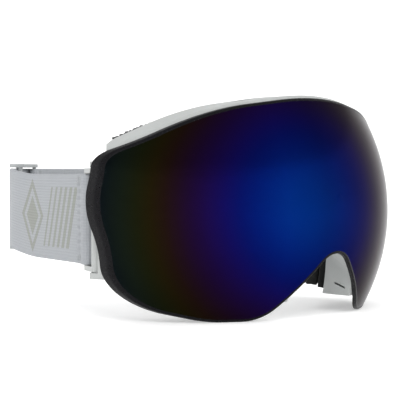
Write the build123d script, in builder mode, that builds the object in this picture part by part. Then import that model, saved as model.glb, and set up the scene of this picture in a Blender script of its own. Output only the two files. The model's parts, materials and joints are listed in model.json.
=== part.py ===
"""Ski goggles with a spherical double lens, a moulded frame, layered face foam and an elastic strap.

Frame of reference, in millimetres: the origin is the common centre of curvature of the lenses,
which lies inside the wearer's head.  -Y points the way the wearer looks, +Z is up, and +X is the
wearer's left.  Outlines are drawn looking along +Y and carried through as prisms, so the whole lens
unit can be pulled off the frame along -Y.
"""
import os
from math import asin, atan2, cos, degrees, hypot, radians, sin, sqrt

from build123d import *

os.makedirs("parts", exist_ok=True)

# Lens outline
lens_width = 177.0
lens_wrap = 70.3  # how far round its sphere the lens reaches at the temples, degrees
lens_rise = 51.2  # top edge above the centre of curvature
lens_drop = 46.1  # lowest edge below it
notch_drop = 12.2  # where the two sides of the nose notch would meet
notch_spread = 31.5  # half width of the notch at the lowest edge
notch_bend = 11.0
top_bend = 150.0
lens_bends = (90.0, 12.0, 50.0, 27.5, 40.0, 17.0)  # from the brow down to the foot of the notch
bends_drawn_at = 177.0  # the width of the lens these bends suit; they keep in step with it

# Lens unit, from the outside in
lens_thickness = 1.7
trim_width = 1.2
trim_proud = 0.1
gasket_thickness = 2.3
gasket_width = 4.0
inner_lens_thickness = 1.0
carrier_lip = 1.5
carrier_wall = 1.2
carrier_width = 5.4

# Frame
lens_gap = 0.3  # between the lens unit and the front of the frame
carrier_gap = 0.4  # between the carrier and the wall round it
frame_wall = 2.2
ledge_thickness = 2.2
ledge_width = 6.0
flange_thickness = 2.0
frame_depth = 17.8  # front to back, at the bridge of the nose
face_flatter = 6.0  # the face is a sphere this much larger than the lens
brow_proud = 1.6
corner_proud = 0.8
temple_overhang = 5.5  # how far the lens reaches past the widest part of the frame
side_overhang = 7.6
cheek_overhang = 8.1
side_depth = 5.2  # straight part of the side wall, before it slopes in to the face
side_slope = 39.0
frame_bends = (90.0, 16.0, 50.0, 20.0, 30.0)  # from the brow down to the cheek
corner_block = 8.0  # solid wall beside the lens recess at each temple
vent_width = 10.0
vent_height = 3.2
vent_pitch = 14.0
vent_count = 5
vent_foam_thickness = 2.0
nose_slot_length = 6.5
nose_slot_height = 1.0
nose_slot_depth = 6.0
nose_slot_at = (21.0, 17.5, 4.6)  # from the middle, behind the lens, above the edge of the frame
nose_slot_fall = 19.0  # how far it slopes down to the front, degrees

# Nose arch, front to back: depth behind the front of the lens, top with its bend,
# shoulder (half width, drop and bend) and half width far below
nose_sections = (
    (-2.0, (14.6, 9.0), (19.0, 34.8, 10.0), 30.0),
    (24.0, (8.0, 14.0), (16.5, 16.0, 9.0), 30.0),
    (54.0, (3.0, 18.0), (21.0, 13.0, 10.0), 36.0),
)
nose_floor = 80.0  # below the lowest edge of the frame

# Magnets that hold the lens unit
magnet_radius = 1.8
magnet_thickness = 1.1
magnet_recess = 0.1  # below the face that it is set in

# Face foam, from the frame to the face
foam_inset = 1.6
foam_setback = 2.0  # from the sloping side of the frame
foam_width = 7.3
foam_base = 6.0
foam_comfort = 9.0
fleece_thickness = 2.0

# Strap and its fittings
strap_width = 40.0
strap_thickness = 1.5
strap_height = -2.5  # middle of the strap beside the head
strap_lift = 3.0  # how much higher the strap sits at the back
strap_lift_start = 42.0
strap_lift_end = 88.0
strap_reach = 111.0  # back of the strap
strap_back_radius = 59.5
layer_pitch = 1.9  # between the two layers where the strap doubles at the back
overlap_angle = 8.0  # how far each layer runs past the middle of the back
grip_width = 3.0
grip_pitch = 9.0
grip_thickness = 0.5

pin_radius = 1.25
pin_clearance = 0.05
ear_radius = 3.2
ear_thickness = 2.6
ear_gap = 0.3
hook_barrel_radius = 2.5
hook_bar_radius = 2.0
hook_arm = 2.2
hook_play = 0.3  # between the edge of the strap and each arm
hook_reach = 11.7
hook_lean = 20.0
loop_length = 9.0
loop_gap = 0.8

slider_angle = 30.0
slider_length = 15.0
slider_rail = 1.8
slider_play = 0.6
slider_rim = 0.3  # how far each rail reaches past the bars
slider_bar = 2.0
slider_bar_gap = 0.3
tail_bar_radius = 0.9
tail_bar_offset = 3.6
tail_thickness = 1.4
tail_angle = 7.0

# Radii of the spheres that everything in the lens unit and the frame is cut to
half_width = lens_width / 2
bend_share = lens_width / bends_drawn_at
lens_radius = half_width / sin(radians(lens_wrap))
lens_back = lens_radius - lens_thickness
inner_front = lens_back - gasket_thickness
inner_back = inner_front - inner_lens_thickness
carrier_back = inner_back - carrier_lip
frame_front = lens_back - lens_gap
ledge_front = carrier_back - lens_gap
ledge_back = ledge_front - ledge_thickness
face_radius = lens_radius + face_flatter
face_centre = face_radius - (frame_front - frame_depth)
reach = lens_radius + 10.0  # longer than any cut through the front

# Where the side of the frame starts to slope in, and the pin of the strap hook beside it
frame_half = half_width - temple_overhang
slope_start = (frame_half, side_depth - sqrt(frame_front**2 - frame_half**2))
slope_dir = (-sin(radians(side_slope)), cos(radians(side_slope)))
slope_out = (cos(radians(side_slope)), sin(radians(side_slope)))
pin_off_slope = ear_radius + 0.8
pin_along_slope = 9.0
pin_at = (
    slope_start[0] + pin_along_slope * slope_dir[0] + pin_off_slope * slope_out[0],
    slope_start[1] + pin_along_slope * slope_dir[1] + pin_off_slope * slope_out[1],
)
bar_at = (
    pin_at[0] - hook_reach * sin(radians(hook_lean)),
    pin_at[1] + hook_reach * cos(radians(hook_lean)),
)
back_centre = strap_reach - strap_back_radius
strap_back_height = strap_height + strap_lift

SIDES = {"right": -1, "left": 1}


def lens_outline():
    """The outer edge of the lens, in the sketch that is open."""
    right = [
        (0.599 * half_width, 0.88 * lens_rise),
        (0.957 * half_width, 0.502 * lens_rise),
        (1.008 * half_width, 0.066 * lens_rise),
        (0.911 * half_width, -0.829 * lens_drop),
        (0.584 * half_width, -lens_drop),
        (notch_spread, -lens_drop + 0.1),
    ]
    points = [(0, lens_rise + 1.5), *right, (0, -notch_drop)]
    points += [(-x, z) for x, z in reversed(right)]
    bends = [bend_share * bend for bend in lens_bends]
    ends = (bend_share * top_bend, bend_share * notch_bend)
    with BuildLine() as edge:
        FilletPolyline(*points, radius=[ends[0], *bends, ends[1], *reversed(bends)], close=True)
    make_face(edge.line)


def frame_outline(inset=0.0, cap=None):
    """The outer edge of the frame without its nose arch, drawn in, and cut square at the temples."""
    right = [
        (0.6 * half_width, 0.88 * lens_rise + corner_proud),
        (frame_half - 0.5, 0.55 * lens_rise + corner_proud),
        (frame_half - 2.0, 0.066 * lens_rise),
        (0.911 * half_width - side_overhang, -0.829 * lens_drop + side_overhang),
        (0.584 * half_width, -lens_drop + cheek_overhang),
    ]
    points = [(0, lens_rise + 1.5 + brow_proud), *right]
    points += [(-x, z) for x, z in reversed(right)]
    bends = [bend_share * bend for bend in frame_bends]
    with BuildLine() as edge:
        FilletPolyline(*points, radius=[bend_share * top_bend, *bends, *reversed(bends)], close=True)
    make_face(edge.line)
    if inset:
        offset(amount=-inset)
    if cap:
        drawn = Rectangle(2 * cap, 4 * lens_rise, mode=Mode.INTERSECT)
        corners = drawn.vertices().filter_by(lambda v: abs(abs(v.X) - cap) < 0.01)
        fillet(corners, radius=5.0)


def prism(inset=0.0, cap=None, outline=None):
    """A column along Y on an outline, as long as the front of the goggles is deep."""
    with BuildPart() as column:
        with BuildSketch(Plane.XZ):
            if outline:
                outline()
                if inset:
                    offset(amount=-inset)
            else:
                frame_outline(inset, cap)
        extrude(amount=reach)
    return column.part


def nose_arch(margin):
    """The room for the nose: it flares from the notch in the lens back to the face."""
    with BuildPart() as arch:
        for depth, (top, round_top), (side, shoulder, bend), foot in nose_sections:
            with BuildSketch(Plane.XZ.offset(lens_radius - depth)):
                with BuildLine():
                    path = FilletPolyline(
                        (-foot, -nose_floor),
                        (-side, -shoulder),
                        (0, -top),
                        (side, -shoulder),
                        (foot, -nose_floor),
                        radius=[bend, round_top, bend],
                    )
                    Line(path @ 1, path @ 0)
                make_face()
                if margin:
                    offset(amount=margin)
        loft(ruled=True)
    return arch.part


def inside_slope(setback):
    """The plan of the frame and foam, whose sides slope in towards the face."""
    run = 60.0
    side = slope_start[0] - setback
    start = slope_start[1] - setback * (1 - sin(radians(side_slope))) / cos(radians(side_slope))
    end = (side + run * slope_dir[0], start + run * slope_dir[1])
    with BuildPart() as plan:
        with BuildSketch(Plane.XY.offset(-reach)):
            with BuildLine():
                Polyline(
                    (-side, -reach), (side, -reach), (side, start), end, (-end[0], end[1]),
                    (-side, start), close=True,
                )
            make_face()
        extrude(amount=2 * reach)
    return plan.part


def ball(radius, back=0.0):
    """A ball about the centre of curvature, or about a point behind it."""
    with BuildPart() as round_tool:
        with Locations((0, back, 0)):
            Sphere(radius)
    return round_tool.part


def shell(column, outer, inner):
    """The part of a column between two spheres about the centre of curvature."""
    with BuildPart() as piece:
        add(column)
        Sphere(outer, mode=Mode.INTERSECT)
        Sphere(inner, mode=Mode.SUBTRACT)
    return piece.part


def finish(part, name):
    part.label = name
    export_step(part, f"parts/{name}.step")


# Margins from the nose arch, each one stacked on the one before
nose_carrier = frame_wall + carrier_gap
nose_inner = nose_carrier + carrier_wall
nose_ledge = frame_wall + ledge_width
recess_cap = frame_half - corner_block
recess_inset = frame_wall
carrier_inset = recess_inset + carrier_gap
carrier_cap = recess_cap - carrier_gap

arch = nose_arch(0)
arch_wall = nose_arch(frame_wall)

# Outer lens: a mirrored piece of a sphere, set inside a black edge trim
lens_column = prism(trim_width, outline=lens_outline)
with BuildPart() as outer_lens:
    add(shell(lens_column, lens_radius, lens_back))
finish(outer_lens.part, "outer_lens")

with BuildPart() as lens_edge_trim:
    add(shell(prism(outline=lens_outline), lens_radius + trim_proud, lens_back))
    add(lens_column, mode=Mode.SUBTRACT)
finish(lens_edge_trim.part, "lens_edge_trim")

# Carrier: the ring glued behind the outer lens, with the lip that the inner lens lies on
with BuildPart() as lens_carrier:
    add(shell(prism(carrier_inset, carrier_cap), lens_back, carrier_back))
    add(nose_arch(nose_carrier), mode=Mode.SUBTRACT)

seat_inset = carrier_inset + carrier_wall
seat_cap = carrier_cap - carrier_wall
with BuildPart() as seat_tool:
    add(prism(seat_inset, seat_cap))
    Sphere(inner_back, mode=Mode.SUBTRACT)
    add(nose_arch(nose_inner), mode=Mode.SUBTRACT)

opening_inset = carrier_inset + carrier_width
opening_cap = carrier_cap - carrier_width
with BuildPart() as carrier_opening:
    add(prism(opening_inset, opening_cap))
    add(nose_arch(nose_carrier + carrier_width), mode=Mode.SUBTRACT)

# The magnets sit on the middle line of the carrier lip, in pairs that face each other
lip_middle = (carrier_wall + carrier_width) / 2
brow_magnet = 0.34 * half_width
cheek_magnet = 0.55 * half_width
magnet_spots = [
    (
        brow_magnet,
        lens_rise + 1.5 + brow_proud - carrier_inset - lip_middle - 0.155 * brow_magnet,
    ),
    (carrier_cap - lip_middle, 0.15 * lens_rise),
    (cheek_magnet, -lens_drop + cheek_overhang + carrier_inset + lip_middle),
]


def magnets(outer, thickness):
    """Six discs with their outer faces at one radius, each square to the lens."""
    with BuildPart() as discs:
        for x, z in magnet_spots:
            for side in SIDES.values():
                forward = Vector(side * x, -sqrt(ledge_front**2 - x**2 - z**2), z).normalized()
                with Locations(Plane(origin=forward * (outer - thickness), z_dir=forward)):
                    Cylinder(magnet_radius, thickness, align=(Align.CENTER, Align.CENTER, Align.MIN))
    return discs.part


carrier_disc_top = carrier_back + magnet_recess + magnet_thickness
frame_disc_top = ledge_front - magnet_recess
carrier_discs = magnets(carrier_disc_top, magnet_thickness)
carrier_pockets = magnets(carrier_disc_top, magnet_thickness + 1.0)
frame_discs = magnets(frame_disc_top, magnet_thickness)
frame_pockets = magnets(frame_disc_top + 1.0, magnet_thickness + 1.0)

with BuildPart() as carrier_ring:
    add(lens_carrier.part)
    add(seat_tool.part, mode=Mode.SUBTRACT)
    add(carrier_opening.part, mode=Mode.SUBTRACT)
    add(carrier_pockets, mode=Mode.SUBTRACT)
finish(carrier_ring.part, "lens_carrier")

with BuildPart() as carrier_magnets:
    add(carrier_discs)
finish(carrier_magnets.part, "carrier_magnets")

# Inner lens and the foam gasket that seals the air between the two lenses
with BuildPart() as inner_lens:
    add(shell(prism(seat_inset, seat_cap), inner_front, inner_back))
    add(nose_arch(nose_inner), mode=Mode.SUBTRACT)
finish(inner_lens.part, "inner_lens")

with BuildPart() as spacer_gasket:
    add(shell(prism(seat_inset, seat_cap), lens_back, inner_front))
    add(nose_arch(nose_inner), mode=Mode.SUBTRACT)
with BuildPart() as gasket_opening:
    add(prism(seat_inset + gasket_width, seat_cap - gasket_width))
    add(nose_arch(nose_inner + gasket_width), mode=Mode.SUBTRACT)
with BuildPart() as gasket_ring:
    add(spacer_gasket.part)
    add(gasket_opening.part, mode=Mode.SUBTRACT)
finish(gasket_ring.part, "spacer_gasket")

# Frame: a ring with a recess for the lens unit, a hollow for the vents, and a flange for the foam
ear_half = strap_width / 2 + hook_play + hook_arm + ear_gap
slope_solid = inside_slope(0)
with BuildPart() as frame_blank:
    add(prism())
    add(slope_solid, mode=Mode.INTERSECT)
    Sphere(frame_front, mode=Mode.INTERSECT)
    add(ball(face_radius, face_centre), mode=Mode.SUBTRACT)

with BuildPart() as recess_tool:
    add(prism(recess_inset, recess_cap))
    Sphere(ledge_front, mode=Mode.SUBTRACT)
    add(arch_wall, mode=Mode.SUBTRACT)

with BuildPart() as hollow_tool:
    add(prism(frame_wall, recess_cap))
    Sphere(ledge_back, mode=Mode.INTERSECT)
    add(ball(face_radius + flange_thickness, face_centre), mode=Mode.SUBTRACT)
    add(arch_wall, mode=Mode.SUBTRACT)

with BuildPart() as eye_opening:
    add(prism(frame_wall + ledge_width, recess_cap - ledge_width))
    add(nose_arch(nose_ledge), mode=Mode.SUBTRACT)


def middle_depth(x, z):
    """Halfway between the ledge and the flange, at one place in the outline."""
    ledge = -sqrt(ledge_back**2 - x**2 - z**2)
    flange = face_centre - sqrt((face_radius + flange_thickness) ** 2 - x**2 - z**2)
    return (ledge + flange) / 2


vent_span = [vent_pitch * (i - (vent_count - 1) / 2) for i in range(vent_count)]
cheek_vent_at = 0.5 * half_width
brow_inside = lens_rise - 2.0
cheek_inside = -lens_drop + cheek_overhang + frame_wall
with BuildPart() as vent_cutter:
    for x in vent_span:
        with Locations((x, middle_depth(x, brow_inside), brow_inside)):
            Box(vent_width, vent_height, 16.0)
    for x in (-cheek_vent_at, cheek_vent_at):
        with Locations((x, middle_depth(x, cheek_inside), cheek_inside)):
            Box(vent_width, vent_height, 12.0)

# Ears that hold the hinge pin of each strap hook, on a web down the side of the frame
with BuildPart() as lug_blank:
    for side in SIDES.values():
        with BuildSketch(Plane.XY.offset(strap_height - ear_half - ear_thickness)):
            with Locations((side * pin_at[0], pin_at[1])):
                Circle(ear_radius)
            with Locations((side * (slope_start[0] - 3.5), slope_start[1] - 3.0)):
                Circle(2.5)
            with Locations((side * (slope_start[0] - 9.0), slope_start[1] - 6.0)):
                Circle(2.5)
            make_hull()
        extrude(amount=2 * (ear_half + ear_thickness))

pocket_front = pin_at[1] - hook_barrel_radius - 1.2
with BuildPart() as hook_pocket:
    with Locations((0, pocket_front + 20.0, strap_height)):
        Box(4 * lens_radius, 40.0, 2 * ear_half)

with BuildPart() as lugs:
    add(lug_blank.part)
    add(hook_pocket.part, mode=Mode.SUBTRACT)
    add(inside_slope(foam_setback - 0.4), mode=Mode.SUBTRACT)
    Sphere(frame_front, mode=Mode.INTERSECT)

with BuildPart() as lug_roots:
    add(lug_blank.part)
    add(slope_solid, mode=Mode.INTERSECT)
    Sphere(frame_front, mode=Mode.INTERSECT)
    add(ball(face_radius, face_centre), mode=Mode.SUBTRACT)

slot_side, slot_setback, slot_rise = nose_slot_at
slot_place = (slot_setback - lens_radius, -lens_drop + cheek_overhang + slot_rise)
slot_run = (0, -cos(radians(nose_slot_fall)), -sin(radians(nose_slot_fall)))
with BuildPart() as nose_slots:
    for side in SIDES.values():
        slot = Plane(origin=(side * slot_side, *slot_place), x_dir=slot_run, z_dir=(side, 0, 0))
        with Locations(slot):
            Box(nose_slot_length, nose_slot_height, nose_slot_depth)

with BuildPart() as frame:
    add(frame_blank.part)
    add(lug_roots.part)
    add(lugs.part)
    add(recess_tool.part, mode=Mode.SUBTRACT)
    add(hollow_tool.part, mode=Mode.SUBTRACT)
    add(eye_opening.part, mode=Mode.SUBTRACT)
    add(arch, mode=Mode.SUBTRACT)
    add(vent_cutter.part, mode=Mode.SUBTRACT)
    add(nose_slots.part, mode=Mode.SUBTRACT)
    add(frame_pockets, mode=Mode.SUBTRACT)
    for side in SIDES.values():
        with Locations((side * pin_at[0], pin_at[1], strap_height)):
            Cylinder(pin_radius, 4 * strap_width, mode=Mode.SUBTRACT)
finish(frame.part, "frame")

with BuildPart() as frame_magnets:
    add(frame_discs)
finish(frame_magnets.part, "frame_magnets")

# Vent foam: strips stuck inside the brow and cheek walls, over the vents
with BuildPart() as vent_foam_ring:
    add(prism(frame_wall, recess_cap))
    add(prism(frame_wall + vent_foam_thickness, recess_cap - vent_foam_thickness), mode=Mode.SUBTRACT)
    Sphere(ledge_back, mode=Mode.INTERSECT)
    add(ball(face_radius + flange_thickness, face_centre), mode=Mode.SUBTRACT)
    add(arch_wall, mode=Mode.SUBTRACT)

brow_strip = vent_span[-1] + vent_width / 2 + 3.0
cheek_strip = (cheek_vent_at - vent_width, cheek_vent_at + vent_width)
with BuildPart() as brow_vent_foam:
    add(vent_foam_ring.part)
    with Locations((0, 0, lens_rise)):
        Box(2 * brow_strip, 4 * reach, lens_rise, mode=Mode.INTERSECT)
finish(brow_vent_foam.part, "brow_vent_foam")

with BuildPart() as cheek_vent_foam:
    add(vent_foam_ring.part)
    with Locations((cheek_vent_at, 0, -lens_drop), (-cheek_vent_at, 0, -lens_drop)):
        Box(cheek_strip[1] - cheek_strip[0], 4 * reach, lens_drop, mode=Mode.INTERSECT)
finish(cheek_vent_foam.part, "cheek_vent_foam")

# Face foam in three layers, each cut from the one surface moved back towards the face
foam_cap = recess_cap - ledge_width - 3.0
foam_slope = inside_slope(foam_setback)
with BuildPart() as foam_opening:
    add(prism(foam_inset + frame_wall + foam_width, foam_cap))
    add(nose_arch(frame_wall + foam_width), mode=Mode.SUBTRACT)


def foam_layer(start, thickness, shrink):
    """A ring of foam that starts some way behind the frame, a little smaller than the one before."""
    column = prism(foam_inset + shrink)
    margin = nose_arch(foam_inset + shrink)
    with BuildPart() as layer:
        add(column)
        add(foam_slope, mode=Mode.INTERSECT)
        add(ball(face_radius, face_centre + start), mode=Mode.INTERSECT)
        add(ball(face_radius, face_centre + start + thickness), mode=Mode.SUBTRACT)
        add(foam_opening.part, mode=Mode.SUBTRACT)
        add(margin, mode=Mode.SUBTRACT)
    return layer.part


finish(foam_layer(0, foam_base, 0), "foam_base_layer")
finish(foam_layer(foam_base, foam_comfort, 0.5), "foam_face_layer")
finish(foam_layer(foam_base + foam_comfort, fleece_thickness, 0.9), "fleece_lining")

# Hinge pins and strap hooks
hook_half = strap_width / 2 + hook_play + hook_arm
pin_length = 2 * (ear_half + ear_thickness)


def tangent(start, radius):
    """Angle in from +Y of the line from a point beside the head that just touches the back arc."""
    across = start[0]
    along = back_centre - start[1]
    return degrees(atan2(across, along) - asin(radius / hypot(across, along)))


for name, side in SIDES.items():
    with BuildPart() as pin:
        with Locations((side * pin_at[0], pin_at[1], strap_height)):
            Cylinder(pin_radius, pin_length)
    finish(pin.part, f"hinge_pin_{name}")

    pin_xy = (side * pin_at[0], pin_at[1])
    bar_xy = (side * bar_at[0], bar_at[1])
    with BuildPart() as hook:
        with BuildSketch(Plane.XY.offset(strap_height - hook_half)):
            with Locations(pin_xy):
                Circle(hook_barrel_radius)
            with Locations(bar_xy):
                Circle(hook_bar_radius)
        extrude(amount=2 * hook_half)
        for low in (-hook_half, hook_half - hook_arm):
            with BuildSketch(Plane.XY.offset(strap_height + low)):
                with Locations(pin_xy):
                    Circle(hook_barrel_radius)
                with Locations(bar_xy):
                    Circle(hook_bar_radius)
                make_hull()
            extrude(amount=hook_arm)
        with Locations((*pin_xy, strap_height)):
            Cylinder(pin_radius + pin_clearance, 2 * pin_length, mode=Mode.SUBTRACT)
    finish(hook.part, f"strap_hook_{name}")


# Strap: two elastic bands, one from each hook, that overlap round the back of the head
def band_profile():
    """The strap seen from the side: level beside the head, then rising, then level at the back."""
    low = strap_height - strap_width / 2
    edge = [
        (-60.0, low),
        (strap_lift_start, low),
        (strap_lift_end, low + strap_lift),
        (strap_reach + 20.0, low + strap_lift),
    ]
    rise = [(y, z + strap_width) for y, z in reversed(edge)]
    bend = 100.0
    with BuildPart() as profile:
        with BuildSketch(Plane.YZ):
            with BuildLine():
                lower = FilletPolyline(*edge, radius=bend)
                upper = FilletPolyline(*rise, radius=bend)
                Line(lower @ 1, upper @ 0)
                Line(upper @ 1, lower @ 0)
            make_face()
        extrude(amount=2 * reach, both=True)
    return profile.part


profile = band_profile()


def band(side, radius, start, past_middle, width, inward=0.0):
    """A band of webbing from a point down the side, round the back arc and past its middle."""
    lean = tangent(bar_at, radius)
    direction = (-side * sin(radians(lean)), cos(radians(lean)))
    inner = (-side * cos(radians(lean)), -sin(radians(lean)))
    begin = (
        side * bar_at[0] + start * direction[0] + inward * inner[0],
        bar_at[1] + start * direction[1] + inward * inner[1],
    )
    arc_radius = radius - inward
    touch = (side * arc_radius * cos(radians(lean)), back_centre + arc_radius * sin(radians(lean)))
    sweep = side * (90.0 - lean + past_middle)
    with BuildPart() as ribbon:
        with BuildSketch(Plane.XY.offset(-reach)):
            with BuildLine() as path:
                Line(begin, touch)
                CenterArc(
                    (0, back_centre), arc_radius, lean if side > 0 else 180.0 - lean, sweep
                )
            trace(path.line, line_width=width)
        extrude(amount=2 * reach)
    return ribbon.part


inner_radius = strap_back_radius - layer_pitch
track = {"right": strap_back_radius, "left": inner_radius}
band_start = loop_length + loop_gap
for name, side in SIDES.items():
    ribbon = band(side, track[name], band_start, overlap_angle, strap_thickness)
    with BuildPart() as strap:
        add(ribbon)
        add(profile, mode=Mode.INTERSECT)
    finish(strap.part, f"strap_{name}")

# Grip lines: silicone printed on the inside of each band, beside the head
grip_end = back_centre - 8.0
grip_inward = (strap_thickness + grip_thickness) / 2
for name, side in SIDES.items():
    backing = band(side, track[name], band_start + 12.0, 0.0, grip_thickness, grip_inward)
    with BuildPart() as grip:
        add(backing)
        with BuildSketch(Plane.YZ):
            for row in (-1, 0, 1):
                with Locations((0, strap_height + row * grip_pitch)):
                    Rectangle(2 * grip_end, grip_width)
        extrude(amount=2 * reach, both=True, mode=Mode.INTERSECT)
    finish(grip.part, f"grip_lines_{name}")

# The sewn loop of each band round the bar of its hook
loop_inner = hook_bar_radius + 0.05
for name, side in SIDES.items():
    lean = tangent(bar_at, track[name])
    direction = Vector(-side * sin(radians(lean)), cos(radians(lean)))
    turn = side * lean
    with BuildPart() as loop:
        with BuildSketch(Plane.XY.offset(strap_height - strap_width / 2)):
            with Locations((side * bar_at[0], bar_at[1])):
                Circle(loop_inner + strap_thickness)
            middle = Vector(side * bar_at[0], bar_at[1]) + direction * (loop_length / 2)
            with Locations(Location((middle.X, middle.Y), turn)):
                Rectangle(2 * strap_thickness, loop_length)
            with Locations((side * bar_at[0], bar_at[1])):
                Circle(loop_inner, mode=Mode.SUBTRACT)
        extrude(amount=strap_width)
    finish(loop.part, f"strap_loop_{name}")


def polar(distance, angle):
    """A place on the plan, at a distance and an angle about the middle of the back arc."""
    return (distance * cos(radians(angle)), back_centre + distance * sin(radians(angle)))


# Sliders at the back: each rides on one band and carries the sewn end of the other
rail_half = strap_width / 2 + slider_play + slider_rail
slider_half_angle = degrees(slider_length / 2 / strap_back_radius)
for name, side in SIDES.items():
    radius = track[name]
    outward = 1 if name == "left" else -1
    centre_angle = 90.0 - side * slider_angle
    tail_bar_angle = centre_angle + side * slider_half_angle
    far_bar_angle = centre_angle - side * slider_half_angle
    bar_offset = strap_thickness / 2 + slider_bar_gap + slider_bar / 2
    tail_radius = radius + outward * tail_bar_offset

    rail_ends = (radius - outward * (bar_offset + slider_bar / 2), tail_radius + outward)
    rail_inner = min(rail_ends) - slider_rim
    rail_outer = max(rail_ends) + slider_rim
    with BuildPart() as slider:
        with BuildSketch(Plane.XY.offset(strap_back_height - rail_half)):
            with Locations(Location(polar(radius + outward * bar_offset, far_bar_angle), far_bar_angle)):
                SlotOverall(slider_bar + 1.2, slider_bar, rotation=90)
            with Locations(Location(polar(radius - outward * bar_offset, centre_angle), centre_angle)):
                SlotOverall(slider_bar + 1.2, slider_bar, rotation=90)
            with Locations(polar(tail_radius, tail_bar_angle)):
                Circle(tail_bar_radius)
        extrude(amount=2 * rail_half)
        for low in (-rail_half, rail_half - slider_rail):
            with BuildSketch(Plane.XY.offset(strap_back_height + low)):
                with BuildLine() as rail_line:
                    CenterArc(
                        (0, back_centre),
                        (rail_inner + rail_outer) / 2,
                        centre_angle - slider_half_angle - 1.6,
                        2 * slider_half_angle + 3.2,
                    )
                trace(rail_line.line, line_width=rail_outer - rail_inner)
            extrude(amount=slider_rail)
    finish(slider.part, f"strap_slider_{name}")

    # The end of the other band, folded round the bar and sewn to itself
    other = "left" if name == "right" else "right"
    inner_edge = tail_bar_radius + 0.05
    fold_radius = inner_edge + tail_thickness
    with BuildPart() as tail:
        with BuildSketch(Plane.XY.offset(strap_back_height - strap_width / 2)):
            with Locations(polar(tail_radius, tail_bar_angle)):
                Circle(fold_radius)
            with BuildLine() as tail_line:
                CenterArc(
                    (0, back_centre), tail_radius - outward * 0.5, tail_bar_angle, side * tail_angle
                )
            trace(tail_line.line, line_width=2 * tail_thickness)
            with Locations(polar(tail_radius, tail_bar_angle)):
                Circle(inner_edge, mode=Mode.SUBTRACT)
        extrude(amount=strap_width)
    finish(tail.part, f"strap_end_{other}")
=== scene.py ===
import json
from math import asin, atan2, ceil, cos, hypot, pi, radians, sin, sqrt, tan

import bmesh
import bpy
from mathutils import Matrix, Vector, noise


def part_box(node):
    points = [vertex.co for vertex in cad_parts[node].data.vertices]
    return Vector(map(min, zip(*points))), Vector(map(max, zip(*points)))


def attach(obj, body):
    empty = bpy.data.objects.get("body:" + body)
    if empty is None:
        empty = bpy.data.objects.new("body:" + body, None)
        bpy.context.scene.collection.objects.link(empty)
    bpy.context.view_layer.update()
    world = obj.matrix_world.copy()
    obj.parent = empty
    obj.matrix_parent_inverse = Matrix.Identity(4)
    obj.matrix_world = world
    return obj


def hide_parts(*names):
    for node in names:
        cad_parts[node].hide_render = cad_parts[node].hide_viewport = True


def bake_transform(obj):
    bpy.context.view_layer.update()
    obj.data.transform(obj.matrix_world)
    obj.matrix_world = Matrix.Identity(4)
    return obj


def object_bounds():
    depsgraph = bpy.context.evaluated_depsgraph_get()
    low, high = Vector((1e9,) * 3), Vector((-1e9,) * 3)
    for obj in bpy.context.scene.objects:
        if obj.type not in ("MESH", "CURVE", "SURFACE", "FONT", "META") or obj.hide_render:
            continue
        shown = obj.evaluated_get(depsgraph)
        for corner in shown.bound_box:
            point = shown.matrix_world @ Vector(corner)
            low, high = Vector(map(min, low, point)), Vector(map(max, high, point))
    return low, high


# Ski goggles: a mirrored double lens on a moulded frame, with layered face foam and an elastic
# strap. Each piece is made in metres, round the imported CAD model.
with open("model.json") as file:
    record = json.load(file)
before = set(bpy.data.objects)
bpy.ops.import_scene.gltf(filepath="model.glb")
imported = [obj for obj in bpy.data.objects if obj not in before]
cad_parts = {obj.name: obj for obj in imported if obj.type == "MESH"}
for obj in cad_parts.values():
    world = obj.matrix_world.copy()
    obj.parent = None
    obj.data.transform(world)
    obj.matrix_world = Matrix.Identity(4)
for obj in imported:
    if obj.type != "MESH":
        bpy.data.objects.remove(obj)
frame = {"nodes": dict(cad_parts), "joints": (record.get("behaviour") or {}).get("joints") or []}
cad_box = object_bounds()

# ---------------------------------------------------------------------------------------------
# Camera, floor and light. The goggles stand on a pale sweep that rises behind them in every
# direction, in even soft light, seen from the wearer's right and a little above.
view_turn = radians(-43.1)
view_rise = radians(1.1)
view_distance = 0.624
aim_right = 0.0029
aim_up = 0.0048
toward_camera = Vector((
    sin(view_turn) * cos(view_rise), -cos(view_turn) * cos(view_rise), sin(view_rise)
))
picture_right = Vector((0, 0, 1)).cross(toward_camera).normalized()
picture_up = toward_camera.cross(picture_right)
aim = picture_right * aim_right + picture_up * aim_up
camera_data = bpy.data.cameras.new("camera")
camera_data.lens = 114.5
camera = bpy.data.objects.new("camera", camera_data)
camera.matrix_world = Matrix.Translation(aim + toward_camera * view_distance) @ Matrix((
    picture_right, picture_up, toward_camera
)).transposed().to_4x4()
bpy.context.scene.collection.objects.link(camera)
bpy.context.scene.camera = camera
bpy.context.scene.view_settings.view_transform = "Standard"

floor_level = cad_box[0][2]
flat_radius = 1.2
sweep_radius = 0.9
sweep_steps = 10
backdrop_mesh = bmesh.new()
bmesh.ops.create_circle(backdrop_mesh, cap_ends=True, segments=96, radius=flat_radius)
for step in range(1, sweep_steps + 1):
    turn = step / sweep_steps * pi / 2
    rim = [e for e in backdrop_mesh.edges if e.is_boundary]
    grown = bmesh.ops.extrude_edge_only(backdrop_mesh, edges=rim)["geom"]
    for corner in (g for g in grown if isinstance(g, bmesh.types.BMVert)):
        away = Vector((corner.co.x, corner.co.y, 0)).normalized()
        corner.co = away * (flat_radius + sweep_radius * sin(turn))
        corner.co.z = sweep_radius * (1 - cos(turn))
for corner in backdrop_mesh.verts:
    corner.co.z += floor_level
for face in backdrop_mesh.faces:
    face.smooth = True
backdrop_data = bpy.data.meshes.new("backdrop")
backdrop_mesh.to_mesh(backdrop_data)
backdrop = bpy.data.objects.new("backdrop", backdrop_data)
bpy.context.scene.collection.objects.link(backdrop)
paper = bpy.data.materials.new("backdrop_paper")
paper.use_nodes = True
paper_shader = paper.node_tree.nodes["Principled BSDF"]
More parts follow.
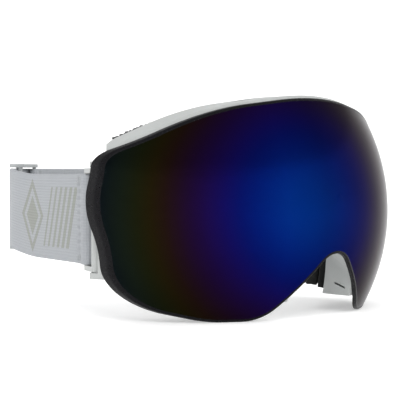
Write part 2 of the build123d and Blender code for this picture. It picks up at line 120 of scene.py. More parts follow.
paper_shader.inputs["Base Color"].default_value = (0.86, 0.86, 0.86, 1)
paper_shader.inputs["Roughness"].default_value = 0.9
paper_shader.inputs["Specular IOR Level"].default_value = 0.1
paper_shader.inputs["Emission Color"].default_value = (1, 1, 1, 1)
paper_shader.inputs["Emission Strength"].default_value = 0.32
backdrop_data.materials.append(paper)

world = bpy.data.worlds.new("soft_light")
bpy.context.scene.world = world
world.use_nodes = True
world.node_tree.nodes["Background"].inputs["Color"].default_value = (1, 1, 1, 1)
world.node_tree.nodes["Background"].inputs["Strength"].default_value = 0.9
for place, size, power in (
    ((-0.9, -1.1, 1.3), 0.9, 9.0),
    ((1.0, -0.9, 0.9), 0.8, 5.0),
    ((0.2, 1.2, 1.2), 0.9, 5.0),
):
    lamp_data = bpy.data.lights.new("softbox", "AREA")
    lamp_data.shape = "DISK"
    lamp_data.size = size
    lamp_data.energy = power
    lamp = bpy.data.objects.new("softbox", lamp_data)
    lamp.visible_glossy = False
    facing = Vector(place).to_track_quat("Z", "Y").to_matrix().to_4x4()
    lamp.matrix_world = Matrix.Translation(place) @ facing
    bpy.context.scene.collection.objects.link(lamp)

# ---------------------------------------------------------------------------------------------
# Outer lens: one large piece of a sphere in tinted polycarbonate with a mirror coat. The coat's
# reflection
# runs from blue in the middle through violet and bronze to blue-black, and is painted on as fixed colour:
# a painted reflection. It is moulded, then trimmed.


class Value:
    """A socket in an expression. Arithmetic on it adds the Math nodes."""

    def __init__(self, look, socket):
        self.look = look
        self.socket = socket

    def math(self, operation, *values):
        return self.look.node("ShaderNodeMath", {"operation": operation}, dict(enumerate(values)))

    def __add__(self, other):
        return self.math("ADD", self, other)

    __radd__ = __add__

    def __sub__(self, other):
        return self.math("SUBTRACT", self, other)

    def __rsub__(self, other):
        return self.math("SUBTRACT", other, self)

    def __mul__(self, other):
        return self.math("MULTIPLY", self, other)

    __rmul__ = __mul__

    def __truediv__(self, other):
        return self.math("DIVIDE", self, other)

    def __rtruediv__(self, other):
        return self.math("DIVIDE", other, self)

    def __gt__(self, other):
        return self.math("GREATER_THAN", self, other)

    def __lt__(self, other):
        return self.math("LESS_THAN", self, other)

    def wave(self):
        return self.math("SINE", self)

    def size(self):
        return self.math("ABSOLUTE", self)

    def clamped(self):
        return self.look.node("ShaderNodeClamp", {}, {0: self})


class Look:
    """A material on one Principled shader, with its constants on the shader's own sockets."""

    def __init__(self, name, constants):
        self.material = bpy.data.materials.new(name)
        self.material.use_nodes = True
        self.tree = self.material.node_tree
        self.shader = self.tree.nodes["Principled BSDF"]
        for socket, value in constants.items():
            self.shader.inputs[socket].default_value = value

    def node(self, kind, settings, inputs, output=0):
        made = self.tree.nodes.new(kind)
        for name, value in settings.items():
            if name == "stops":
                while len(made.color_ramp.elements) < len(value):
                    made.color_ramp.elements.new(1.0)
                for element, (place, colour) in zip(made.color_ramp.elements, value):
                    element.position = place
                    element.color = colour
            else:
                setattr(made, name, value)
        for name, value in inputs.items():
            if isinstance(value, Value):
                self.tree.links.new(value.socket, made.inputs[name])
            else:
                made.inputs[name].default_value = value
        return Value(self, made.outputs[output])

    def place(self):
        return self.node("ShaderNodeTexCoord", {}, {}, "Object")

    def uv(self):
        return self.node("ShaderNodeUVMap", {"uv_map": "cloth"}, {})

    def axes(self, vector):
        return [self.node("ShaderNodeSeparateXYZ", {}, {0: vector}, i) for i in range(3)]

    def grain(self, vector, scale, detail=3.0, roughness=0.55):
        inputs = {"Vector": vector, "Scale": scale, "Detail": detail, "Roughness": roughness}
        return self.node("ShaderNodeTexNoise", {}, inputs, "Fac")

    def mix(self, factor, first, second):
        inputs = {"Factor": factor, 6: first, 7: second}
        return self.node("ShaderNodeMix", {"data_type": "RGBA"}, inputs, 2)

    def ramp(self, factor, stops):
        return self.node("ShaderNodeValToRGB", {"stops": stops}, {0: factor}, "Color")

    def feed(self, socket, value):
        self.tree.links.new(value.socket, self.shader.inputs[socket])

    def bump(self, height, distance, strength=1.0):
        inputs = {"Height": height, "Distance": distance, "Strength": strength}
        self.feed("Normal", self.node("ShaderNodeBump", {}, inputs, "Normal"))


def tone(red, green, blue):
    """A colour as it looks on a screen, 0 to 255, as the light it gives back."""
    def light(level):
        level /= 255
        return level / 12.92 if level <= 0.04045 else ((level + 0.055) / 1.055) ** 2.4
    return (light(red), light(green), light(blue), 1.0)


# Outlines are polygons seen from the front, with each corner rounded to its own radius
half_width = 0.0885
lens_rise = 0.0512
lens_drop = 0.0461
notch_top = -0.0122
notch_spread = 0.0315


def mirrored(top, right, bottom=None):
    """A closed list of corners (x, z, radius) from the corners on one side."""
    left = [(-x, z, bend) for x, z, bend in reversed(right)]
    return [top, *right, *([bottom] if bottom else []), *left]


lens_corners = mirrored(
    (0, lens_rise + 0.0015, 0.15),
    [
        (0.599 * half_width, 0.88 * lens_rise, 0.09),
        (0.957 * half_width, 0.502 * lens_rise, 0.012),
        (1.008 * half_width, 0.066 * lens_rise, 0.05),
        (0.911 * half_width, -0.829 * lens_drop, 0.0275),
        (0.584 * half_width, -lens_drop, 0.04),
        (notch_spread, 0.0001 - lens_drop, 0.017),
    ],
    (0, notch_top, 0.011),
)


def bends(corners, inset):
    """For each rounded corner of a polygon drawn in by a margin: its arc's start, centre and turn."""
    count = len(corners)
    found = []
    for i in range(count):
        before, here, after = (Vector(corners[(i + k) % count][:2]) for k in (-1, 0, 1))
        into = (here - before).normalized()
        out = (after - here).normalized()
        side = 1 if into.x * out.y - into.y * out.x > 0 else -1
        right = [Vector((d.y, -d.x)) for d in (into, out)]
        here += (right[0] + right[1]) / (1 + right[0].dot(right[1])) * inset
        bend = max(corners[i][2] + side * inset, 0.0003)
        angle = into.angle(out)
        start = here - into * bend * tan(angle / 2)
        centre = start - right[0] * side * bend
        found.append((start, centre, side * angle))
    return found


def rounded(corners, inset=0.0, spacing=0.0015):
    """Points along a polygon with rounded corners, drawn in by an even margin. Their number is
    the same for every margin."""
    plain = bends(corners, 0.0)
    drawn_in = bends(corners, inset)
    points = []
    for i, (start, centre, turn) in enumerate(drawn_in):
        arc = max(3, ceil(corners[i][2] * abs(turn) / spacing))
        for k in range(arc + 1):
            points.append(centre + Matrix.Rotation(turn * k / arc, 2) @ (start - centre))
        plain_start, plain_centre, plain_turn = plain[i]
        plain_end = plain_centre + Matrix.Rotation(plain_turn, 2) @ (plain_start - plain_centre)
        following = (i + 1) % len(corners)
        gaps = max(2, round((plain[following][0] - plain_end).length / spacing))
        last = points[-1].copy()
        goal = drawn_in[following][0]
        points += [last.lerp(goal, k / gaps) for k in range(1, gaps)]
    return points


def on_ball(points, radius, share=1.0, middle=Vector((0.0, 0.010))):
    """Points of an outline, drawn in towards the middle by a share, on a ball about the origin."""
    found = []
    for point in points:
        flat = middle + (point - middle) * share
        found.append(Vector((flat.x, -sqrt(radius**2 - flat.length_squared), flat.y)))
    return found


def stack(name, rings, ends):
    """A skin through rings of points, each extruded from the one before. Its ends are closed
    with caps, joined to each other, or left open."""
    mesh = bmesh.new()
    corners = [mesh.verts.new(point) for point in rings[0]]
    edges = [mesh.edges.new((a, b)) for a, b in zip(corners, corners[1:] + corners[:1])]
    first = list(edges)
    order = {corner: i for i, corner in enumerate(corners)}
    for ring in rings[1:]:
        made = bmesh.ops.extrude_edge_only(mesh, edges=edges)["geom"]
        fresh = {g for g in made if isinstance(g, bmesh.types.BMVert)}
        following = {}
        for corner in fresh:
            for edge in corner.link_edges:
                other = edge.other_vert(corner)
                if other in order:
                    following[corner] = order[other]
        edges = [g for g in made if isinstance(g, bmesh.types.BMEdge) and set(g.verts) <= fresh]
        for corner, i in following.items():
            corner.co = ring[i]
        order = following
    if ends == "caps":
        for loop in (first, edges):
            cap = bmesh.ops.contextual_create(mesh, geom=loop)["faces"]
            bmesh.ops.poke(mesh, faces=cap)
    elif ends == "joined":
        bmesh.ops.bridge_loops(mesh, edges=first + edges)
    return as_piece(name, mesh)


def as_piece(name, mesh, crease=40):
    """An object from a mesh, its faces turned out, shaded smooth but for edges over an angle."""
    bmesh.ops.recalc_face_normals(mesh, faces=mesh.faces)
    for face in mesh.faces:
        face.smooth = True
    for edge in mesh.edges:
        edge.smooth = len(edge.link_faces) != 2 or edge.calc_face_angle() < radians(crease)
    data = bpy.data.meshes.new(name)
    mesh.to_mesh(data)
    mesh.free()
    piece = bpy.data.objects.new(name, data)
    bpy.context.scene.collection.objects.link(piece)
    return piece


def wear(piece, look):
    """Gives a piece or a CAD node its material."""
    piece.data.materials.clear()
    piece.data.materials.append(look.material)


lens_radius = -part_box("outer_lens")[0].y
lens_thickness = 0.0017
trim_width = 0.0012
lens_edge = rounded(lens_corners, trim_width)
# Rings from the middle outwards, closer together towards the edge
ring_count = 22
shares = [1 - (1 - k / ring_count) ** 1.3 for k in range(1, ring_count + 1)]
lens_rings = [on_ball(lens_edge, lens_radius, share) for share in shares]
lens_rings += [on_ball(lens_edge, lens_radius - lens_thickness, share) for share in reversed(shares)]
outer_lens = stack("mirror_lens", lens_rings, "caps")

# The painted reflection's colour goes by the angle from its bluest point, and painted shade dims it from
# the right temple inwards
reflection_turn = radians(-11)
reflection_rise = radians(2)
reflection_middle = Vector((sin(reflection_turn) * cos(reflection_rise), -cos(reflection_turn) * cos(reflection_rise), sin(reflection_rise)))
reflection_reach = 70
mirror_coat = Look("mirror_coat", {
    "Metallic": 1.0, "IOR": 1.5, "Specular Tint": (0.62, 0.61, 0.62, 1),
})
outward = mirror_coat.node("ShaderNodeVectorMath", {"operation": "NORMALIZE"}, {0: mirror_coat.place()})
along = mirror_coat.node(
    "ShaderNodeVectorMath", {"operation": "DOT_PRODUCT"}, {0: outward, 1: reflection_middle}, "Value"
)
off_middle = mirror_coat.node("ShaderNodeMath", {"operation": "ARCCOSINE"}, {0: along})
drift = mirror_coat.grain(mirror_coat.place(), 14.0, 1.0)
spread = off_middle / radians(reflection_reach) + (drift - 0.5) * 0.03
# Painted reflection: the mirror's colour at each angle from its bluest point, painted on the lens as base
# colour
painted_reflection_stops = [
    (0.0, 2, 43, 123), (6, 3, 41, 121), (11, 3, 34, 115), (16, 4, 25, 105), (20, 8, 18, 94),
    (24, 17, 13, 84), (27.5, 23, 11, 70), (30.5, 26, 10, 56), (33.5, 28, 11, 42), (36.5, 30, 14, 27),
    (39.5, 31, 18, 14), (43, 30, 24, 8), (47, 24, 27, 12), (51, 20, 27, 20), (55, 15, 22, 23),
    (59, 10, 15, 22), (66, 9, 12, 19),
]
painted_reflection_colour = mirror_coat.ramp(spread, [(angle / reflection_reach, tone(*colour)) for angle, *colour in painted_reflection_stops])
# Painted shade: the painted reflection is mixed towards black from the right temple inwards
shade_start = 0.30
shade_width = 0.22
shade_depth = 0.24
leftward = mirror_coat.axes(outward)[0]
painted_shade = ((leftward + shade_start) / shade_width).clamped() * shade_depth + shade_depth
mirror_coat.feed("Base Color", mirror_coat.mix(painted_shade, painted_reflection_colour, (0.0, 0.0, 0.0, 1)))
haze = mirror_coat.grain(mirror_coat.place(), 900.0, 2.0)
mirror_coat.feed("Roughness", 0.19 + haze * 0.03)
wear(outer_lens, mirror_coat)
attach(outer_lens, "lens_unit")
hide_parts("outer_lens")

# The back of the lens has no coat: a smoke tint that the wearer looks through
smoke_tint = Look("smoke_tint", {"Roughness": 0.08, "Metallic": 0.0, "IOR": 1.58})
cloud = smoke_tint.grain(smoke_tint.place(), 40.0)
smoke_tint.feed("Base Color", smoke_tint.mix(cloud, (0.02, 0.016, 0.022, 1), (0.035, 0.028, 0.034, 1)))
outer_lens.data.materials.append(smoke_tint.material)
for face in outer_lens.data.polygons:
    face.material_index = 1 if face.center.length < lens_radius - lens_thickness / 2 else 0

# ---------------------------------------------------------------------------------------------
# Lens edge trim: the black gloss band round the outer lens. It is cut square to the front, so it
# is narrow along the brow and shows a wide side wall at the temples. Its outer edge is rounded.
trim_proud = 0.0001
trim_outer = lens_radius + trim_proud
trim_back = lens_radius - lens_thickness
edge_round = 0.0004
trim_profile = [
    (0.0, trim_back), (0.0, trim_outer - edge_round), (0.12 * edge_round, trim_outer - 0.5 * edge_round),
    (0.4 * edge_round, trim_outer - 0.15 * edge_round), (edge_round, trim_outer),
    (trim_width - 0.0002, trim_outer), (trim_width, trim_outer - trim_proud), (trim_width, trim_back),
]
trim_rings = [on_ball(rounded(lens_corners, inset), radius) for inset, radius in trim_profile]
edge_trim = stack("edge_trim", trim_rings, "joined")
gloss_black = Look("gloss_black", {"Metallic": 0.0, "IOR": 1.5, "Specular IOR Level": 0.12})
fine = gloss_black.grain(gloss_black.place(), 600.0)
gloss_black.feed("Base Color", gloss_black.mix(fine, tone(4, 4, 7), tone(13, 12, 16)))
gloss_black.feed("Roughness", 0.22 + fine * 0.12)
gloss_black.bump(fine, 0.00001)
wear(edge_trim, gloss_black)
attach(edge_trim, "lens_unit")
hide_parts("lens_edge_trim")

# ---------------------------------------------------------------------------------------------
# Behind the outer lens: the black carrier ring, the foam gasket that seals the air gap, the clear
# anti-fog inner lens, and nickel-plated magnets in the carrier that meet others in the frame.
nodes = frame["nodes"]
satin_black = Look("satin_black", {"Metallic": 0.0, "IOR": 1.5, "Specular IOR Level": 0.15})
moulded = satin_black.grain(satin_black.place(), 1400.0)
satin_black.feed("Base Color", satin_black.mix(moulded, tone(8, 8, 9), tone(18, 18, 19)))
satin_black.feed("Roughness", 0.42 + moulded * 0.2)
satin_black.bump(moulded, 0.00004)
wear(nodes["lens_carrier"], satin_black)

gasket_foam = Look("gasket_foam", {"Metallic": 0.0, "Roughness": 0.95})
cells = gasket_foam.grain(gasket_foam.place(), 1800.0)
gasket_foam.feed("Base Color", gasket_foam.mix(cells, tone(12, 12, 12), tone(40, 40, 41)))
gasket_foam.bump(cells, 0.0002)
wear(nodes["spacer_gasket"], gasket_foam)

clear_sheet = Look("clear_sheet", {"Metallic": 0.0, "IOR": 1.49, "Roughness": 0.05, "Alpha": 0.22})
film = clear_sheet.grain(clear_sheet.place(), 25.0)
clear_sheet.feed("Base Color", clear_sheet.mix(film, (0.55, 0.58, 0.6, 1), (0.62, 0.62, 0.66, 1)))
wear(nodes["inner_lens"], clear_sheet)

nickel = Look("nickel", {"Metallic": 1.0})
brushed = nickel.grain(nickel.place(), 2500.0)
nickel.feed("Base Color", nickel.mix(brushed, (0.52, 0.5, 0.46, 1), (0.7, 0.68, 0.63, 1)))
nickel.feed("Roughness", 0.2 + brushed * 0.2)
for name in ("carrier_magnets", "frame_magnets"):
    wear(nodes[name], nickel)

# ---------------------------------------------------------------------------------------------
# Frame: a light grey moulding in soft polyurethane, with a matt spark-eroded skin. Its rim stands
# proud of the brow, and its nose arch flares back to the face.
frame_skin = Look("frame_skin", {"Metallic": 0.0, "IOR": 1.5, "Specular IOR Level": 0.4})
spark = frame_skin.grain(frame_skin.place(), 2200.0, 4.0)
mottle = frame_skin.grain(frame_skin.place(), 60.0)
frame_skin.feed("Base Color", frame_skin.mix(
    mottle * 0.6 + spark * 0.4, tone(162, 165, 164), tone(178, 180, 179)
))
frame_skin.feed("Roughness", 0.48 + spark * 0.16)
frame_skin.bump(spark, 0.00006)
wear(nodes["frame"], frame_skin)

vent_cells = Look("vent_cells", {"Metallic": 0.0, "Roughness": 0.95})
pores = vent_cells.node(
    "ShaderNodeTexVoronoi", {}, {"Vector": vent_cells.place(), "Scale": 1500.0}, "Distance"
)
vent_cells.feed("Base Color", vent_cells.mix(pores, tone(8, 8, 8), tone(58, 58, 60)))
vent_cells.bump(pores, 0.0004)
for name in ("brow_vent_foam", "cheek_vent_foam"):
    wear(nodes[name], vent_cells)

# ---------------------------------------------------------------------------------------------
# Face foam: three die-cut layers glued into one pad. The first is open-celled, the second is soft
# and dense, and the last is a brushed fleece that lies on the skin.
face_radius = 0.100
face_middle = 0.0258
pad_middle = 0.010
pull = 0.0042
pull_depth = 0.012
lumps_per_metre = 260.0


def soft_copy(node, name, cell, relax, rough):
    """A foam piece from a CAD solid: an even mesh, its edges relaxed, its skin a little uneven,
    and its outer wall drawn in towards the face, where the pad gives most."""
    mesh = bmesh.new()
    mesh.from_mesh(nodes[node].data)
    bmesh.ops.remove_doubles(mesh, verts=mesh.verts, dist=1e-6)
    piece = as_piece(name, mesh)
    evened = piece.modifiers.new("evened", "REMESH")
    evened.mode = "VOXEL"
    evened.voxel_size = cell
    evened.use_smooth_shade = True
    relaxed = piece.modifiers.new("relaxed", "SMOOTH")
    relaxed.factor = 0.5
    relaxed.iterations = relax
    graph = bpy.context.evaluated_depsgraph_get()
    baked = bpy.data.meshes.new_from_object(piece.evaluated_get(graph))
    piece.modifiers.clear()
    piece.data = baked
    uneven = bmesh.new()
    uneven.from_mesh(baked)
    uneven.normal_update()
    for corner in uneven.verts:
        spot, facing = corner.co, corner.normal
        away = Vector((spot.x, 0, spot.z - pad_middle)).normalized()
        behind = spot.y - face_middle + sqrt(face_radius**2 - spot.x**2 - spot.z**2)
        drawn = pull * min(1, max(0, behind / pull_depth)) * max(0, facing.dot(away))
        corner.co = spot + facing * (rough * noise.noise(spot * lumps_per_metre) - drawn)
    uneven.to_mesh(baked)
    uneven.free()
    for face in baked.polygons:
        face.use_smooth = True
    return piece


def foam_look(name, scale, dark, pale, depth, sheen):
    """A foam or a fleece: cells or fibres at a scale, between a dark and a pale tone."""
    look = Look(name, {
        "Metallic": 0.0, "Sheen Weight": sheen, "Sheen Roughness": 0.5, "Specular IOR Level": 0.1,
    })
    fine = look.grain(look.place(), scale, 4.0, 0.7)
    patch = look.grain(look.place(), 70.0)
    look.feed("Base Color", look.mix(fine * 0.75 + patch * 0.25, dark, pale))
    look.feed("Roughness", 0.8 + fine * 0.15)
    look.bump(fine, depth)
    return look


pad_layers = (
    ("foam_base_layer", "foam_base_pad", 0.0009, 5, 0.00012, "face_foam",
     foam_look("open_foam", 1300.0, tone(2, 3, 3), tone(17, 17, 16), 0.0003, 0.05)),
    ("foam_face_layer", "foam_face_pad", 0.0009, 7, 0.00015, "face_foam",
     foam_look("dense_foam", 2300.0, tone(4, 5, 5), tone(20, 21, 19), 0.00015, 0.1)),
    ("fleece_lining", "fleece_pad", 0.0007, 6, 0.00012, "fleece",
     foam_look("brushed_fleece", 3200.0, tone(6, 6, 6), tone(28, 28, 27), 0.0004, 0.5)),
)
for node, name, cell, relax, rough, slot_name, look in pad_layers:
    pad = soft_copy(node, name, cell, relax, rough)
    wear(pad, look)
    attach(pad, "frame")
    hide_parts(node)

# ---------------------------------------------------------------------------------------------
# Hinge pins and strap hooks: a steel pin stands between two ears of the frame, and a nylon hook
# turns on it and holds the strap on its far bar.
steel = Look("pin_steel", {"Metallic": 1.0, "IOR": 2.5})
drawn = steel.grain(steel.place(), 1500.0)
steel.feed("Base Color", steel.mix(drawn, (0.45, 0.45, 0.46, 1), (0.62, 0.62, 0.63, 1)))
steel.feed("Roughness", 0.25 + drawn * 0.15)
nylon = Look("hook_nylon", {"Metallic": 0.0, "IOR": 1.5})
speck = nylon.grain(nylon.place(), 1800.0)
nylon.feed("Base Color", nylon.mix(speck, tone(162, 165, 164), tone(178, 180, 179)))
nylon.feed("Roughness", 0.4 + speck * 0.15)
nylon.bump(speck, 0.00004)


def eased_copy(node, name, width, look, body):
    """A moulded piece from a CAD solid, with every sharp edge eased."""
    mesh = bmesh.new()
    mesh.from_mesh(nodes[node].data)
    bmesh.ops.remove_doubles(mesh, verts=mesh.verts, dist=1e-6)
    bmesh.ops.dissolve_limit(
        mesh, angle_limit=radians(1), use_dissolve_boundaries=False, verts=mesh.verts, edges=mesh.edges
    )
    sharp = [e for e in mesh.edges if len(e.link_faces) == 2 and e.calc_face_angle(0) > radians(40)]
    bmesh.ops.bevel(
        mesh, geom=sharp, offset=width, offset_type="OFFSET", affect="EDGES", segments=2, profile=0.5,
        clamp_overlap=True, material=-1,
    )
    piece = as_piece(name, mesh)
    wear(piece, look)
    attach(piece, body)
    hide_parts(node)


for side in ("right", "left"):
    wear(nodes[f"hinge_pin_{side}"], steel)
    eased_copy(f"strap_hook_{side}", f"hook_{side}", 0.0004, nylon, f"hook_{side}")

# ---------------------------------------------------------------------------------------------
# Sliders: light grey nylon buckles at the back. Each travels along one band of the strap and
# carries the sewn end of the other.
buckle_nylon = Look("buckle_nylon", {"Metallic": 0.0, "IOR": 1.5})
pitted = buckle_nylon.grain(buckle_nylon.place(), 1600.0)
buckle_nylon.feed("Base Color", buckle_nylon.mix(pitted, tone(156, 159, 160), tone(172, 175, 176)))
buckle_nylon.feed("Roughness", 0.4 + pitted * 0.2)
buckle_nylon.bump(pitted, 0.00004)
for side in ("right", "left"):
    eased_copy(
        f"strap_slider_{side}", f"slider_{side}", 0.00035, buckle_nylon, f"slider_{side}"
    )

# ---------------------------------------------------------------------------------------------
# Strap: two bands of woven elastic, 40 mm wide, light grey with a darker print. Each starts in a
# sewn loop on its hook, runs along the head and doubles over the other at the back.
joints = {joint["name"]: joint for joint in frame["joints"]}
back_centre = joints["slider_travel_right"]["pos_m"][1]
strap_width = 0.040
strap_thickness = 0.0015
strap_level = joints["hook_pivot_right"]["pos_m"][2]
strap_lift = joints["slider_travel_right"]["pos_m"][2] - strap_level
lift_start = 0.042
lift_end = 0.088
back_radius = 0.0595
layer_pitch = 0.0019
hook_reach = 0.0117
hook_lean = radians(20)
bar_reach = 0.00205
sides = {"right": -1, "left": 1}
tracks = {"right": back_radius, "left": back_radius - layer_pitch}

webbing = Look("strap_webbing", {
    "Metallic": 0.0, "Sheen Weight": 0.1, "Sheen Roughness": 0.4, "Specular IOR Level": 0.25,
})
run, across, _ = webbing.axes(webbing.uv())
rib_pitch = 0.0011
cord_pitch = 0.0013
ribs = (run * (2 * pi / rib_pitch)).wave()
cords = (across * (2 * pi / cord_pitch) + (run * (pi / rib_pitch)).wave() * 0.5).wave()
weave = ribs * 0.5 + cords * 0.5
fuzz = webbing.grain(webbing.place(), 1500.0)
soil = webbing.grain(webbing.place(), 45.0)
shade = (weave * 0.2 + fuzz * 0.5 + soil * 0.3).clamped()
ground = webbing.mix(shade, tone(150, 153, 157), tone(166, 169, 173))
# The print: six slanted stripes that get thinner towards the back, then a diamond in an outline
stripe_start = 0.0165
stripe_pitch = 0.0054
stripe_width = 0.0034
stripe_loss = 0.0003
stripe_slant = 0.35
stripe_half_height = 0.0140
diamond_place = 0.0625
diamond_half = 0.0072
outline_inner = 0.0102
outline_outer = 0.0134
slanted = run + across * stripe_slant
stripes = [
    (slanted - (stripe_start + i * stripe_pitch)).size() < (stripe_width - stripe_loss * i) / 2
    for i in range(6)
]
striped = sum(stripes[1:], stripes[0]) * (across.size() < stripe_half_height)
from_diamond = (run - diamond_place).size() + across.size() * 0.75
outline = (from_diamond < outline_outer) - (from_diamond < outline_inner)
motif = (striped + outline + (from_diamond < diamond_half)).clamped()
webbing.feed("Base Color", webbing.mix(motif, ground, tone(141, 144, 138)))
webbing.feed("Roughness", 0.75 + fuzz * 0.15)
webbing.bump(weave * 0.6 + fuzz * 0.4, 0.00012)


def strap_line(side):
    """Where the band's hook bar is, the band's heading, its lean and its length to the back arc."""
    sign = sides[side]
    pin = joints[f"hook_pivot_{side}"]["pos_m"]
    bar = Vector((pin[0] - sign * hook_reach * sin(hook_lean), pin[1] + hook_reach * cos(hook_lean)))
    away = back_centre - bar.y
    distance = hypot(bar.x, away)
    lean = atan2(abs(bar.x), away) - asin(tracks[side] / distance)
    straight = sqrt(distance**2 - tracks[side] ** 2)
    return bar, Vector((-sign * sin(lean), cos(lean))), lean, straight


def framed(place, heading, outward, level):
    """A matrix with X along a band, Y out of it and Z up."""
    return Matrix((
        (heading.x, outward.x, 0, place.x), (heading.y, outward.y, 0, place.y), (0, 0, 1, level),
        (0, 0, 0, 1),
    ))


def along_strap(side, run, offset=0.0):
    """The frame of a band at a length from its bar, pushed outwards."""
    sign = sides[side]
    bar, heading, lean, straight = strap_line(side)
    outward = Vector((sign * cos(lean), sin(lean)))
    if run <= straight:
        place = bar + heading * run + outward * offset
    else:
        spin = Matrix.Rotation(sign * (run - straight) / tracks[side], 2)
        outward = spin @ outward
        heading = spin @ heading
        place = Vector((0, back_centre)) + outward * (tracks[side] + offset)
    share = min(1, max(0, (place.y - lift_start) / (lift_end - lift_start)))
    return framed(place, heading, outward, strap_level + strap_lift * share * share * (3 - 2 * share))


def section(width, thickness):
    """A band cut across, with rounded selvages, as points (0, out, up)."""
    half = thickness / 2
    level = width / 2 - half
    rise = [-level + 2 * level * k / 20 for k in range(21)]
    edge = [(half * cos(a), half * sin(a)) for a in (pi / 4, pi / 2, 3 * pi / 4)]
    around = [(0, half, z) for z in rise] + [(0, out, level + up) for out, up in edge]
    around += [(0, -half, z) for z in reversed(rise)] + [(0, -out, -level - up) for out, up in edge]
    return around


def sweep(name, shape, frames, runs):
    """A band drawn along its frames, with a cloth map of length along it and height across."""
    mesh = bmesh.new()
    corners = [mesh.verts.new(frames[0] @ Vector(point)) for point in shape]
    face = mesh.faces.new(corners)
    height = {corner: point[2] for corner, point in zip(corners, shape)}
    length = {corner: runs[0] for corner in corners}
    for before, after, run in zip(frames, frames[1:], runs[1:]):
        old = set(face.verts)
        made = bmesh.ops.extrude_face_region(mesh, geom=[face], use_keep_orig=False)["geom"]
        face = next(g for g in made if isinstance(g, bmesh.types.BMFace))
        for corner in face.verts:
            below = next(e.other_vert(corner) for e in corner.link_edges if e.other_vert(corner) in old)
            height[corner] = height[below]
            length[corner] = run
        bmesh.ops.transform(mesh, matrix=after @ before.inverted(), verts=face.verts[:])
    rim = [e for e in mesh.edges if e.is_boundary]
    if rim:
        bmesh.ops.holes_fill(mesh, edges=rim)
    layer = mesh.loops.layers.uv.new("cloth")
    for face in mesh.faces:
        for loop in face.loops:
            loop[layer].uv = (length[loop.vert], height[loop.vert])
    return as_piece(name, mesh)


def band(name, side, start, end, spacing=0.002):
    """A stretch of one band of the strap."""
    steps = ceil((end - start) / spacing)
    runs = [start + (end - start) * k / steps for k in range(steps + 1)]
    frames = [along_strap(side, run) for run in runs]
    piece = sweep(name, section(strap_width, strap_thickness), frames, runs)
    wear(piece, webbing)
    return piece


# Each band is drawn in two stretches. The front one runs from the hook towards the frame, and the back
# one between the frame and the slider that carries its end.
past_middle = radians(8)
tail_gap = radians(7.3)
loop_length = 0.009
loop_cover = 0.0002
front_bend = 0.016
for side in sides:
    _, _, lean, straight = strap_line(side)
    middle = straight + tracks[side] * (pi / 2 - lean)
    tail_start = middle + tracks[side] * (past_middle + tail_gap)
    break_point = 0.6 * straight
    front = band(f"band_{side}_front", side, loop_length - loop_cover, break_point)
    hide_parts(f"strap_{side}")
    along_strap(side, loop_length).translation
    along_strap(side, loop_length + front_bend).translation
    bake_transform(front)
    back = band(f"band_{side}_back", side, break_point, tail_start)
    along_strap(side, middle + tracks[side] * past_middle * 0.2).translation
    along_strap(side, tail_start).translation
    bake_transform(back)

# ---------------------------------------------------------------------------------------------
# Sewn loops: the band folds round the hook's bar and back on itself, and rows of stitches and a
# bartack near the edge hold the fold. The thread is the same grey as the webbing.
thread_look = Look("strap_thread", {"Metallic": 0.0, "Sheen Weight": 0.1, "Specular IOR Level": 0.3})
twist = thread_look.grain(thread_look.place(), 2600.0)
thread_look.feed("Base Color", thread_look.mix(twist, tone(138, 141, 144), tone(172, 175, 178)))
thread_look.feed("Roughness", 0.6 + twist * 0.2)
thread_look.bump(twist, 0.00005)
layer_gap = 0.00003


def fold(reach, ring, thickness):
    """The middle line of a band folded round a bar, as places (along, out) from the bar, from the
    end of the inner layer round to the end of the outer one."""
    middle = ring + thickness / 2
    lie = thickness / 2 + layer_gap
    leaving = (middle * 0.95, (lie + middle * 0.87) / 2)
    half = [(reach, lie), (reach * 0.66, lie), (middle * 1.35, lie), leaving]
    round_bar = [(middle * cos(radians(a)), middle * sin(radians(a))) for a in range(60, 301, 12)]
    outer = half + round_bar + [(along, -out) for along, out in reversed(half)]
    return [Vector(point) for point in reversed(outer)]


def folded(name, path, thickness, place_at):
    """A band swept along a fold. Its place on the cloth map lies clear of the print."""
    frames, runs = [], []
    for before, here, after in zip([path[0], *path], path, [*path[1:], path[-1]]):
        ahead = (after - before).normalized()
        turned = framed(Vector((0, 0)), ahead, Vector((-ahead.y, ahead.x)), 0)
        frames.append(place_at(here) @ turned)
        runs.append((runs[-1] if runs else -0.06) + (here - before).length)
    piece = sweep(name, section(strap_width, thickness), frames, runs)
    wear(piece, webbing)
    return piece


def stitches(mesh, line, outward, radius=0.00022):
    """Thread stitches along a line of points, each one an ellipsoid half sunk in the webbing."""
    for start, end in zip(line[::2], line[1::2]):
        turn = (end - start).to_track_quat("Z", "Y").to_matrix().to_4x4()
        size = Matrix.Diagonal((radius, radius, (end - start).length / 2, 1))
        made = bmesh.ops.create_icosphere(mesh, subdivisions=2, radius=1.0)["verts"]
        place = Matrix.Translation((start + end) / 2 + outward * radius * 0.2)
        bmesh.ops.transform(mesh, matrix=place @ turn @ size, verts=made)


sewn_half_height = 0.0175
stitch_pitch = 0.0032
stitch_length = 0.0022
tack_half_width = 0.0011
tack_pitch = 0.0004


def sew(name, base, places, body):
    """Rows of stitches up a fold at given (along, out) places. The two outer rows have a bartack
    at each end."""
    mesh = bmesh.new()
    for row, (along, out) in enumerate(places):
        facing = base.to_3x3() @ Vector((0, 1 if out > 0 else -1, 0))
        line = []
        for k in range(int(2 * sewn_half_height / stitch_pitch) + 1):
            low = -sewn_half_height + stitch_pitch * k
            line += [base @ Vector((along, out, low)), base @ Vector((along, out, low + stitch_length))]
        stitches(mesh, line, facing)
        tack_ends = (-sewn_half_height, sewn_half_height) if row < 2 else ()
        for low in (end + tack_pitch * k for end in tack_ends for k in range(-3, 4)):
            tack = [along - tack_half_width, along + tack_half_width]
            stitches(mesh, [base @ Vector((place, out, low)) for place in tack], facing)
    piece = as_piece(name, mesh)
    wear(piece, thread_look)
    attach(piece, body)


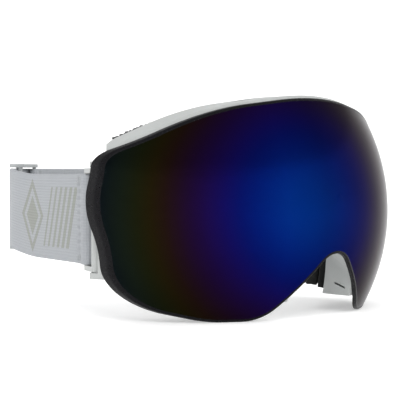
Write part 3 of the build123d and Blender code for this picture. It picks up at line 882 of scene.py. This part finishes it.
loop_skin = strap_thickness + layer_gap
loop_rows = [(along, out) for out in (loop_skin, -loop_skin) for along in (0.0078, 0.0058)]
for side, sign in sides.items():
    bar, heading, lean, _ = strap_line(side)
    base = framed(bar, heading, Vector((sign * cos(lean), sin(lean))), strap_level)
    path = fold(loop_length, bar_reach, strap_thickness)
    loop = folded(
        f"loop_{side}", path, strap_thickness, lambda here: base @ Matrix.Translation((here.x, here.y, 0))
    )
    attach(loop, f"hook_{side}")
    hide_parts(f"strap_loop_{side}")
    sew(f"loop_stitches_{side}", base, loop_rows, f"hook_{side}")

# ---------------------------------------------------------------------------------------------
# Strap ends: past the middle of the back each band folds round the slider on the other band, and
# is sewn to itself in the same way as the loops.
tail_bar = 0.00095
tail_thickness = 0.0014
tail_offset = 0.0036
tail_sink = 0.0005
tail_slope = 0.003
tail_rows = [(0.0, tail_thickness), (-0.0018, tail_thickness)]
seam_reach = 0.0055
bar_turn = radians(30) - 0.0075 / back_radius
tail_angle = radians(7)


def on_slider(host, along, out):
    """The frame of a strap end at a length from its slider's bar, back along the arc, and
    pushed away from the other band."""
    out_sign = 1 if host == "left" else -1
    radius = tracks[host] + out_sign * tail_offset
    angle = pi / 2 - sides[host] * (bar_turn - along / radius)
    outward = Vector((cos(angle), sin(angle)))
    place = Vector((0, back_centre)) + outward * (radius + out_sign * out)
    back_to_middle = Vector((-outward.y, outward.x)) * sides[host]
    return framed(place, back_to_middle, outward * out_sign, strap_level + strap_lift)


def sunk(host, here):
    """The frame of a point of the fold, which sinks onto the band beyond the bar."""
    return on_slider(host, here.x, here.y - tail_sink * min(1, max(0, here.x / tail_slope)))


for side in sides:
    host = "left" if side == "right" else "right"
    radius = tracks[host] + (1 if host == "left" else -1) * tail_offset
    path = fold(radius * tail_angle, tail_bar, tail_thickness)
    tail = folded(f"tail_{side}", path, tail_thickness, lambda here: sunk(host, here))
    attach(tail, f"slider_{host}")
    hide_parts(f"strap_end_{side}")
    base = on_slider(host, seam_reach, -tail_sink)
    sew(f"tail_stitches_{side}", base, tail_rows, f"slider_{host}")

# ---------------------------------------------------------------------------------------------
# Grip lines: three beads of clear silicone printed along the inside of each band, in low waves.
silicone = Look("grip_silicone", {"Metallic": 0.0, "IOR": 1.41})
bead = silicone.grain(silicone.place(), 700.0)
silicone.feed("Base Color", silicone.mix(bead, tone(190, 192, 195), tone(216, 217, 219)))
silicone.feed("Roughness", 0.25 + bead * 0.15)
grip_width = 0.003
grip_pitch = 0.009
grip_height = 0.0005
grip_steps = 40
clear_of_loop = 0.0128
clear_of_arc = 0.008
taper_length = 0.002
taper_end = 0.15
wave_height = 0.0008
wave_length = 0.012
for side in sides:
    bar, _, lean, _ = strap_line(side)
    grip_start = loop_length + clear_of_loop
    grip_end = (back_centre - clear_of_arc - bar.y) / cos(lean)
    runs = [grip_start + (grip_end - grip_start) * k / grip_steps for k in range(grip_steps + 1)]
    for row in (-1, 0, 1):
        frames = []
        for place in runs:
            from_end = min(place - grip_start, grip_end - place)
            taper = min(1, from_end / taper_length + taper_end)
            wave = wave_height * sin((place - grip_start) * 2 * pi / wave_length + row)
            move = Matrix.Translation((0, 0, row * grip_pitch + wave))
            flat = along_strap(side, place, -strap_thickness / 2)
            flat.translation.z = strap_level
            frames.append(flat @ move @ Matrix.Diagonal((1, taper, taper, 1)))
        half_round = [
            (0, -grip_height * sin(a), -grip_width / 2 * cos(a)) for a in (pi * k / 10 for k in range(11))
        ]
        grip = sweep(f"grip_{side}_{row + 2}", half_round, frames, runs)
        wear(grip, silicone)
        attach(grip, "frame")
        if row == 0:
            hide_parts(f"grip_lines_{side}")
